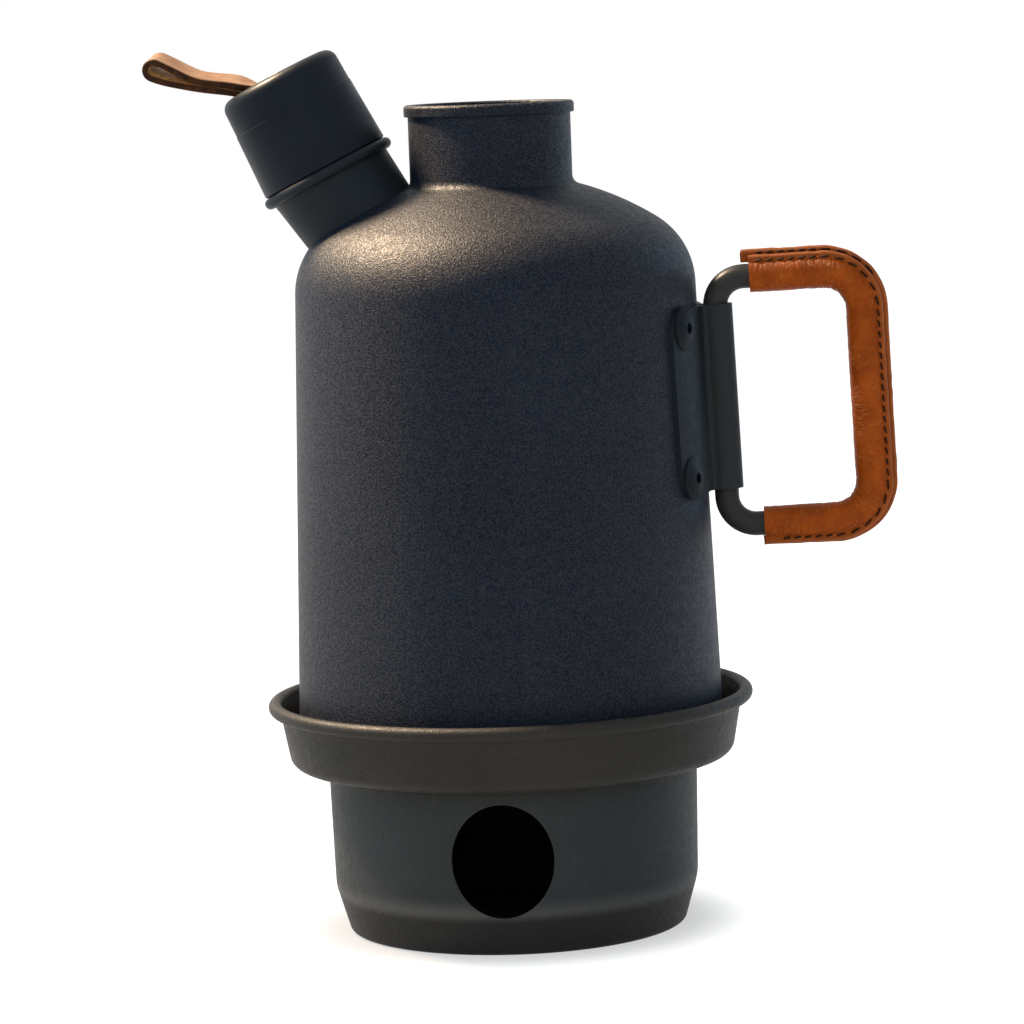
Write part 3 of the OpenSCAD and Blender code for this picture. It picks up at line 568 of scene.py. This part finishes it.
def turned_bowl():
    """The bowl's points and faces."""
    out_low, out_r = bowl_wall(rounded([
        (0, 0, 0), (61.5, 0, 2.5), (66.5, BOWL_KNEE_Z, 16), (BOWL_OUT_R, COLLAR_Z, 0.0)]))
    in_low, in_r = bowl_wall(rounded([
        (0, SHEET, 0), (60.3, SHEET, 1.3), (65.3, BOWL_KNEE_Z, 15), (BOWL_IN_R, COLLAR_Z, 0.0)]))
    heights = np.linspace(PATCH_FOOT, PATCH_TOP, BOWL_ROWS)
    line = out_low + [(out_r(z), z) for z in heights]
    line += [(BOWL_OUT_R, COLLAR_Z), (BOWL_OUT_R, 62.5), (72.0, 62.5), (72.0, 63.7), (66.6, 63.7),
             (BOWL_IN_R, 63.3), (BOWL_IN_R, COLLAR_Z)]
    line += [(in_r(z), z) for z in heights[::-1]] + in_low[::-1]

    verts, faces, rings = [], [], []
    turn = 2 * math.pi / BOWL_SEG
    for r, z in line:
        first = len(verts)
        if r < 1e-4:
            verts.append((0, 0, z))
            rings.append([first] * BOWL_SEG)
            continue
        verts += [(r * math.sin(turn * i), -r * math.cos(turn * i), z) for i in range(BOWL_SEG)]
        rings.append(list(range(first, first + BOWL_SEG)))
    first_row, last_row = len(out_low), len(line) - len(in_low) - 1
    walls = [list(range(first_row, first_row + BOWL_ROWS)), list(range(last_row, last_row - BOWL_ROWS, -1))]
    for k, low in enumerate(rings):
        n = (k + 1) % len(rings)
        in_wall = any(k in wall and n in wall for wall in walls)
        for i in range(BOWL_SEG):
            if in_wall and not PATCH <= i < BOWL_SEG - PATCH:
                continue
            j = (i + 1) % BOWL_SEG
            face = list(dict.fromkeys((low[i], low[j], rings[n][j], rings[n][i])))
            if len(face) > 2:
                faces.append(face)

    def hole_loop(points, radius, deep=0.0):
        """Adds points given as (x, z) on the front wall and returns their numbers."""
        first = len(verts)
        verts.extend([(x, -math.sqrt((radius(z) - deep) ** 2 - x * x), z) for x, z in points])
        return list(range(first, first + len(points)))

    def oval(edge, grow):
        """The points of the grown hole's rim that face the points of an edge."""
        out = []
        for v in edge:
            dx, dz = verts[v][0], verts[v][2] - HOLE_Z
            t = 1 / math.hypot(dx / (HOLE_HALF_W + grow), dz / (HOLE_HALF_H + grow))
            out.append((dx * t, HOLE_Z + dz * t))
        return out

    chains, rims = [], []
    cols = list(range(-PATCH, PATCH + 1))
    for side, (wall, radius) in enumerate(zip(walls, (out_r, in_r))):
        edge = [rings[wall[0]][i] for i in cols] + [rings[k][PATCH] for k in wall[1:]]
        edge += [rings[wall[-1]][i] for i in cols[-2::-1]] + [rings[k][-PATCH] for k in wall[-2:0:-1]]
        start = oval(edge, EDGE_GROW[side])
        chain = []
        for f in HOLE_RINGS:
            ring = [(x + f * (verts[v][0] - x), z + f * (verts[v][2] - z)) for (x, z), v in zip(start, edge)]
            chain.append(hole_loop(ring, radius))
        chains.append(chain + [edge])
        rims.append(hole_loop(oval(edge, 0.0), radius, EDGE_DEEP[side]))
    for sequence in (rims[:1] + chains[0], rims[1:] + chains[1], rims):
        for low, high in zip(sequence, sequence[1:]):
            for i in range(len(low)):
                j = (i + 1) % len(low)
                faces.append((low[i], low[j], high[j], high[i]))
    return verts, faces


bowl = mesh_object("fire_bowl_turned", *turned_bowl(), BASE, "fire_base", smooth=42)
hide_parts("fire_bowl")

# Stopper cap, with its fine parting line

CAP_R, CAP_TOP, CAP_FOOT, PARTING_Z = 24.2, 40.0, 2.2, 26.6
SOCKET_R, SOCKET_Z, ROOM_R, ROOM_Z = 17.0, 18.2, 10.5, 28.8
DISH_R, CAP_DISH_Z, RIVET_HOLE_R = 18.0, 34.76, 2.1
cap_line = rounded([
    (SOCKET_R, CAP_FOOT, 0.3), (CAP_R, CAP_FOOT, 0.7), (23.172, PARTING_Z, 0.0), (22.98, PARTING_Z + 0.2, 0.0),
    (22.6, CAP_TOP, 4.2), (DISH_R, CAP_TOP, 0.4), (DISH_R, CAP_DISH_Z, 0.8), (RIVET_HOLE_R, CAP_DISH_Z, 0.0),
    (RIVET_HOLE_R, ROOM_Z, 0.0), (ROOM_R, ROOM_Z, 0.5), (ROOM_R, SOCKET_Z, 0.0), (SOCKET_R, SOCKET_Z, 0.5)])
cap = lathe("cap_moulded", dense_loop(cap_line, 6.0), CAP, "stopper", 192, MOUTH_FRAME, 30)
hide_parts("stopper_cap")

# Pull strap: one strip that is folded back on itself over an open eye

STRAP_T, STRAP_W, STRAP_PLAY = 2.5, 14.0, 0.1
EYE_H, EYE_L = 3.4, 18
EDGE_FROM, EDGE_FADE = 6.1, 0.7
TAIL, FLAT, MID_R, BEND, CURL, REACH = 8.0, 6.0, 7.55, 35.0, 15.0, 36.0
BEND_S = TAIL + FLAT
CURL_S = BEND_S + MID_R * math.radians(BEND)
END_S = CURL_S + REACH
TWIST, TWIST_END, TWIST_L, SETTLE_L = 12, 11, 11, 16
CURL_R = REACH / math.radians(CURL)
DISH_Z = 34.8


def ease(t):
    """0 to 1 with a soft start and end."""
    t = max(0.0, min(1.0, t))
    return t * t * (3 - 2 * t)


def strap_point(s, t, n, w):
    """A point of the strap: t along it, n off its middle and w across it, at s from the tail's end."""
    slope = min(BEND, math.degrees(max(0, s - BEND_S) / MID_R)) + CURL * max(0, s - CURL_S) / REACH
    bent = min(slope, BEND)
    sb, cb, sa, ca = (f(math.radians(a)) for a in (bent, slope) for f in (math.sin, math.cos))
    m0 = min(s, BEND_S) - TAIL + MID_R * sb + CURL_R * (sa - sb)
    m1 = DISH_Z + STRAP_T + STRAP_PLAY / 2 + MID_R * (1 - cb) + CURL_R * (cb - ca)
    taken, eased = ease((s - BEND_S) / TWIST_L), ease((s - BEND_S - TWIST_L) / SETTLE_L)
    roll = math.radians(TWIST * taken + (TWIST_END - TWIST) * eased)
    lift = STRAP_W / 2 * math.sin(math.radians(TWIST)) * taken * (1 - eased)
    rise = n * math.cos(roll) + w * math.sin(roll) + lift
    return (-(m0 + t * ca - rise * sa), w * math.cos(roll) - n * math.sin(roll), m1 + t * sa + rise * ca)


def strap_half(s):
    """Half the distance between the middles of the two runs."""
    return (STRAP_T + STRAP_PLAY + EYE_H * ease(1 - (END_S - s) / EYE_L)) / 2


runs = list(np.linspace(0, BEND_S, 12)) + list(np.linspace(BEND_S, CURL_S, 10))[1:]
runs += list(np.linspace(CURL_S, END_S, 40))[1:]
stations = [(s, -90.0) for s in runs] + [(END_S, b) for b in np.linspace(-90, 90, 25)[1:-1]]
stations += [(s, 90.0) for s in runs[::-1]]
half_t, half_w = STRAP_T / 2, STRAP_W / 2
ring = rounded([(-half_t, -half_w, 0.8), (half_t, -half_w, 0.8), (half_t, half_w, 0.8), (-half_t, half_w, 0.8)], 18)
ring = dense_loop(ring, 0.9)
verts, marks = [], []
for s, b in stations:
    h, cb, sb = strap_half(s), math.cos(math.radians(b)), math.sin(math.radians(b))
    for e, w in ring:
        verts.append(strap_point(s, (h + e) * cb, (h + e) * sb, w))
        rim = min(1.0, max(0.0, (abs(w) - EDGE_FROM) / EDGE_FADE))
        marks.append((rim, min(1.0, max(0.0, -e / half_t * 2 - 0.6)) * (1 - rim), 0, 1))
faces = grid_faces(len(stations), len(ring))
faces += [tuple(range(len(ring))), tuple(range(len(verts) - len(ring), len(verts)))]
strap = mesh_object("strap_folded", verts, faces, STRAP, "strap", MOUTH_FRAME, 50)
hide = strap.data.color_attributes.new("hide", "FLOAT_COLOR", "POINT")
hide.data.foreach_set("color", np.asarray(marks, np.float32).ravel())
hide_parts("pull_strap")

# Leather grip round the handle's rod, sewn along the outside of the loop

GRIP_START, OUT_X, OUT_Z, LOOP_W, LOOP_HALF, BEND_OUT = 13.0, 39.0, 31.0, 53.0, 45.0, 14.0
GRIP_R, BORE_R = 6.15, 4.5
BAR_L, TURN_L, SIDE_L = OUT_X - GRIP_START, BEND_OUT * math.pi / 2, 2 * OUT_Z
GRIP_L = 2 * BAR_L + 2 * TURN_L + SIDE_L


def grip_path(s):
    """Centre and outward direction of the gripped rod at distance s, as (x, z) pairs."""
    if s < BAR_L:
        return (GRIP_START + s, LOOP_HALF), (0.0, 1.0)
    s -= BAR_L
    if s < TURN_L:
        a = math.pi / 2 - s / BEND_OUT
        return (OUT_X + BEND_OUT * math.cos(a), OUT_Z + BEND_OUT * math.sin(a)), (math.cos(a), math.sin(a))
    s -= TURN_L
    if s < SIDE_L:
        return (LOOP_W, OUT_Z - s), (1.0, 0.0)
    s -= SIDE_L
    if s < TURN_L:
        a = -s / BEND_OUT
        return (OUT_X + BEND_OUT * math.cos(a), -OUT_Z + BEND_OUT * math.sin(a)), (math.cos(a), math.sin(a))
    s -= TURN_L
    return (OUT_X - s, -LOOP_HALF), (0.0, -1.0)


def grip_point(s, n, y):
    """A point at distance s along the rod, n outwards and y across the loop."""
    (cx, cz), (nx, nz) = grip_path(s)
    return (cx + n * nx, y, cz + n * nz)


def corner_weight(s):
    """1 in the middle of a corner of the loop, falling to 0 on the straights."""
    mids = (BAR_L + TURN_L / 2, BAR_L + TURN_L * 1.5 + SIDE_L)
    return max(math.exp(-((s - m) / 13) ** 2) for m in mids)


tube_s, tube_a = np.linspace(0, GRIP_L, 640), np.linspace(0, 2 * math.pi, 97)[:-1]
S, A = np.meshgrid(tube_s, tube_a, indexing="ij")
corner = np.array([corner_weight(s) for s in tube_s])[:, None]
turns = A / (2 * math.pi)
ridge = 1 - np.abs(2 * value_noise(S / 1.9 + 1.2 * value_noise(S / 9, turns * 3, 3, 2), turns * 5, 5, 3) - 1)
fold = 1 - np.abs(2 * value_noise(S / 2.6, turns * 3 + 0.7 * value_noise(S / 7, turns * 4, 4, 8), 3, 4) - 1)
patchy = value_noise(S / 14, turns * 3, 3, 6)
inside = 0.5 - 0.5 * np.cos(A)
depth = (0.10 + 0.16 * patchy) * ridge ** 6 + corner * (0.08 + 0.26 * inside) * fold ** 3
lump = 0.10 * (value_noise(S / 11, turns * 2, 2, 9) - 0.5)
R = GRIP_R - 0.05 - depth + lump
verts, uvs = [], []
for i, s in enumerate(tube_s):
    for j, a in enumerate(tube_a):
        verts.append(grip_point(s, R[i, j] * math.cos(a), R[i, j] * math.sin(a)))
        uvs.append((s / 10, a * GRIP_R / 10))
inner_s = np.linspace(0, GRIP_L, 120)
inner_first = len(verts)
for s in inner_s:
    for a in tube_a:
        verts.append(grip_point(s, BORE_R * math.cos(a), BORE_R * math.sin(a)))
        uvs.append((s / 10, a * BORE_R / 10))
m = len(tube_a)
faces = grid_faces(len(tube_s), m) + grid_faces(len(inner_s), m, start=inner_first)
for outer, inner in ((0, inner_first), ((len(tube_s) - 1) * m, inner_first + (len(inner_s) - 1) * m)):
    faces += [(outer + j, outer + (j + 1) % m, inner + (j + 1) % m, inner + j) for j in range(m)]
tube = mesh_object("grip_tube", verts, faces, GRIP, "handle", HANDLE_FRAME, 60, uvs)
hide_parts("grip_leather")


def flap(name, n0, edge, y0, y1, extra, seed):
    """One flap of the seam: a strip out to edge(s), with soft edges, a wavy rim and uneven ends."""
    width, thick = edge(GRIP_L / 2) - n0, y1 - y0
    outline = rounded([(0, 0, 0.1), (width, 0, 1.2), (width, thick, 1.2), (0, thick, 0.1)], 12)
    outline = [(float(x) / width, float(y) / thick) for x, y in outline]
    rng = np.random.default_rng(seed)
    count = 420
    verts, uvs = [], []
    spots = np.linspace(-extra[0], GRIP_L + extra[1], count)
    wave = np.interp(spots, np.linspace(spots[0], spots[-1], 60), rng.normal(0, 0.09, 60))
    ends = rng.normal(0, 0.22, (2, len(outline)))
    for i, s in enumerate(spots):
        for k, (a, c) in enumerate(outline):
            n = n0 + (edge(s) + wave[i] - n0) * a
            y = y0 + (y1 - y0) * c
            shift = ends[0, k] if i == 0 else ends[1, k] if i == count - 1 else 0.0
            verts.append(grip_point(s + shift, n, y))
            uvs.append((s / 10, a))
    faces = grid_faces(count, len(outline))
    faces += [tuple(range(len(outline))), tuple(range(len(verts) - len(outline), len(verts)))]
    piece = mesh_object(name, verts, faces, FLAP, "handle", HANDLE_FRAME, 60, uvs)
    return piece


FLAP_IN, FLAP_T, NEAR_EDGE = 4.9, 3.45, 7.45
CORNER_S = BAR_L + TURN_L


def near_edge(s):
    return NEAR_EDGE


def far_edge(s):
    """The far flap stands out most along the top bar and least along the lower one."""
    return float(np.interp(s, (0, CORNER_S, CORNER_S + SIDE_L, GRIP_L), (9.5, 9.15, 9.0, 7.9)))


flap("grip_flap_near", FLAP_IN, near_edge, -FLAP_T, -0.1, (0.0, 0.0), 11)
flap("grip_flap_far", FLAP_IN, far_edge, 0.1, FLAP_T, (2.6, 0.5), 12)


THREAD_R, STITCH_HALF, STITCH_SINK, STITCH_PITCH, ROW_END = 0.42, 1.42, 0.30, 3.85, 2.0


def stitches(name, n, y, last, lean):
    """A row of stitches: short rounded lengths of thread that dip in at both ends."""
    verts, faces = [], []
    sides, rings = 8, 9
    count = int((last - ROW_END) / STITCH_PITCH)
    for q in range(count):
        mid = ROW_END + STITCH_PITCH * (q + 0.5)
        base = len(verts)
        for i in range(rings):
            u = -1 + 2 * i / (rings - 1)
            s = mid + STITCH_HALF * u
            thick = THREAD_R * math.sqrt(max(0.04, 1 - abs(u) ** 5))
            sink = STITCH_SINK * abs(u) ** 3
            for j in range(sides):
                a = 2 * math.pi * j / sides
                verts.append(grip_point(s, n(mid) + lean * u + thick * math.cos(a),
                                        y + math.copysign(sink, -y) + thick * math.sin(a)))
        faces += grid_faces(rings, sides, start=base)
        end = base + rings * sides
        faces += [tuple(range(base, base + sides)), tuple(range(end - sides, end))]
    piece = mesh_object(name, verts, faces, THREAD, "handle", HANDLE_FRAME, 80)
    return piece


def near_seam(s):
    return math.sqrt(GRIP_R ** 2 - 3.5 ** 2) + 0.5


def far_seam(s):
    return far_edge(s) - 1.2


near_row = stitches("stitches_near", near_seam, -FLAP_T - 0.1, GRIP_L - ROW_END, 0.25)
stitches("stitches_groove", far_seam, -0.2, CORNER_S - 4.0, 0.0)
stitches("stitches_far", far_seam, FLAP_T + 0.1, GRIP_L - ROW_END, 0.25)
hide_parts("grip_thread")

# Nodes that keep their own solids

for node, material in (("spout", SPOUT), ("stopper_plug", RUBBER), ("strap_rivet", NICKEL),
                       ("rivet_washer", NICKEL), ("handle_bracket", BRACKET), ("rivet_upper_front", BRACKET),
                       ("rivet_upper_rear", BRACKET), ("rivet_lower_front", BRACKET), ("rivet_lower_rear", BRACKET),
                       ("rivet_mandrels", STEEL), ("handle_rod", ROD)):
    obj = nodes[node]
    obj.data.materials.clear()
    obj.data.materials.append(material)

# Camera at the photograph's angle

CAMERA_ANGLES = (4.3, 0.105, 6.388, 2.134)
CAMERA_AWAY, CAMERA_Z = 1.64375, 0.33557
LENS, SENSOR = 159.45, 36.0


def camera():
    """The camera stands at a turn about the object, and is then yawed, pitched and rolled."""
    turn, yaw, pitch, roll = (math.radians(a) for a in CAMERA_ANGLES)
    ahead = Vector((-math.sin(turn), math.cos(turn), 0))
    side = Vector((math.cos(turn), math.sin(turn), 0))
    up = Vector((0, 0, 1))
    look, right = ahead * math.cos(yaw) + side * math.sin(yaw), side * math.cos(yaw) - ahead * math.sin(yaw)
    look, up = look * math.cos(pitch) - up * math.sin(pitch), up * math.cos(pitch) + look * math.sin(pitch)
    right, up = right * math.cos(roll) - up * math.sin(roll), up * math.cos(roll) + right * math.sin(roll)
    data = bpy.data.cameras.new("camera")
    data.lens, data.sensor_width = LENS, SENSOR
    data.clip_start, data.clip_end = 0.05, 60.0
    cam = bpy.data.objects.new("camera", data)
    place = Matrix((right, up, -look)).transposed().to_4x4()
    place.translation = Vector((CAMERA_AWAY * math.sin(turn), -CAMERA_AWAY * math.cos(turn), CAMERA_Z))
    cam.matrix_world = place
    scene.collection.objects.link(cam)
    scene.camera = cam


camera()

# Floor, world and lamps

WHITE, AROUND = (1, 1, 1, 1), (0.30, 0.34, 0.38, 1)
PAPER, PAPER_SEEN = (0.82, 0.82, 0.82, 1), (0.25, 0.25, 0.25, 1)
FLOOR_HALF = 6
FOOT_SHADE = {"From Min": 0.0615, "From Max": 0.092, "To Min": 0.55, "To Max": 1.0}


def area(name, place, target, size, watts, colour, sheen=True, wash=True):
    """A soft lamp; sheen and wash say whether it lights glossy and matt surfaces."""
    data = bpy.data.lights.new(name, "AREA")
    data.shape, data.size, data.size_y = "RECTANGLE", size[0], size[1]
    data.energy, data.color = watts, colour
    lamp = bpy.data.objects.new(name, data)
    lamp.location = place
    lamp.rotation_euler = (Vector(target) - Vector(place)).to_track_quat("-Z", "Y").to_euler()
    lamp.visible_camera = False
    lamp.visible_glossy = sheen
    lamp.visible_diffuse = wash
    scene.collection.objects.link(lamp)


def seen_directly(tree):
    """1 for rays from the camera, off a gloss or through glass."""
    path = tree.nodes.new("ShaderNodeLightPath")
    seen = path.outputs["Is Camera Ray"]
    for kind in ("Is Glossy Ray", "Is Transmission Ray"):
        total = tree.nodes.new("ShaderNodeMath")
        total.operation = "MAXIMUM"
        tree.links.new(seen, total.inputs[0])
        tree.links.new(path.outputs[kind], total.inputs[1])
        seen = total.outputs[0]
    return seen


def ray_mix(tree, factor, first, second):
    """One colour or another, by the kind of ray."""
    n = tree.nodes.new("ShaderNodeMix")
    n.data_type = "RGBA"
    tree.links.new(factor, n.inputs["Factor"])
    a, b = [s for s in n.inputs if s.type == "RGBA"]
    a.default_value, b.default_value = first, second
    return [s for s in n.outputs if s.type == "RGBA"][0]


def studio_world():
    """A grey-blue surround that is white to the eye, in a gloss and through glass."""
    world = bpy.data.worlds.new("studio")
    scene.world = world
    world.use_nodes = True
    tree = world.node_tree
    colour = ray_mix(tree, seen_directly(tree), AROUND, WHITE)
    tree.links.new(colour, tree.nodes["Background"].inputs["Color"])


def studio_floor():
    """White paper that keeps the object's shadow, with a painted contact shadow: its glow dims towards the object's
    foot.
    """
    half = FLOOR_HALF
    mesh = bpy.data.meshes.new("floor")
    mesh.from_pydata([(-half, -half, 0), (half, -half, 0), (half, half, 0), (-half, half, 0)], [], [(0, 1, 2, 3)])
    floor = bpy.data.objects.new("floor", mesh)
    scene.collection.objects.link(floor)
    paper = bpy.data.materials.new("floor_paper")
    paper.use_nodes = True
    tree = paper.node_tree
    bsdf = tree.nodes["Principled BSDF"]
    tree.links.new(ray_mix(tree, seen_directly(tree), PAPER, PAPER_SEEN), bsdf.inputs["Base Color"])
    bsdf.inputs["Roughness"].default_value = 0.9
    bsdf.inputs["Specular IOR Level"].default_value = 0.0
    bsdf.inputs["Emission Color"].default_value = WHITE
    spot = tree.nodes.new("ShaderNodeTexCoord")
    length = tree.nodes.new("ShaderNodeVectorMath")
    length.operation = "LENGTH"
    tree.links.new(spot.outputs["Object"], length.inputs[0])
    # Painted contact shadow: the glow falls off towards the foot.
    glow = tree.nodes.new("ShaderNodeMapRange")
    glow.interpolation_type = "SMOOTHSTEP"
    for key, value in FOOT_SHADE.items():
        glow.inputs[key].default_value = value
    tree.links.new(length.outputs["Value"], glow.inputs["Value"])
    lit = tree.nodes.new("ShaderNodeMath")
    lit.operation = "MULTIPLY"
    tree.links.new(glow.outputs[0], lit.inputs[0])
    tree.links.new(seen_directly(tree), lit.inputs[1])
    tree.links.new(lit.outputs[0], bsdf.inputs["Emission Strength"])
    mesh.materials.append(paper)


studio_world()
studio_floor()

MIDDLE = (0, 0, 0.18)
KEY, DOME = (-0.98, 0.30, 1.5), (0, 0, 0.26)
area("key", KEY, DOME, (0.25, 0.25), 44, (1.0, 0.78, 0.56))
area("key_sheen", KEY, DOME, (0.25, 0.25), 200, (1.0, 0.74, 0.50), True, False)
area("left", (-1.6, 0.15, 0.60), MIDDLE, (0.7, 1.3), 4.5, (0.24, 0.62, 1.0))
area("right", (1.25, 1.2, 0.5), MIDDLE, (0.6, 0.9), 2.6, (0.12, 0.55, 1.0))
area("right_front", (1.7, -0.5, 0.20), MIDDLE, (0.6, 0.36), 0.4, (0.6, 0.82, 1.0))
area("left_back", (-1.15, 1.35, 0.55), MIDDLE, (0.5, 1.2), 1.0, (0.62, 0.78, 1.0))
area("front", (-0.2, -2.2, 1.3), MIDDLE, (1.6, 1.2), 16, (1.0, 0.98, 0.95), False)

scene.view_settings.view_transform = "Standard"
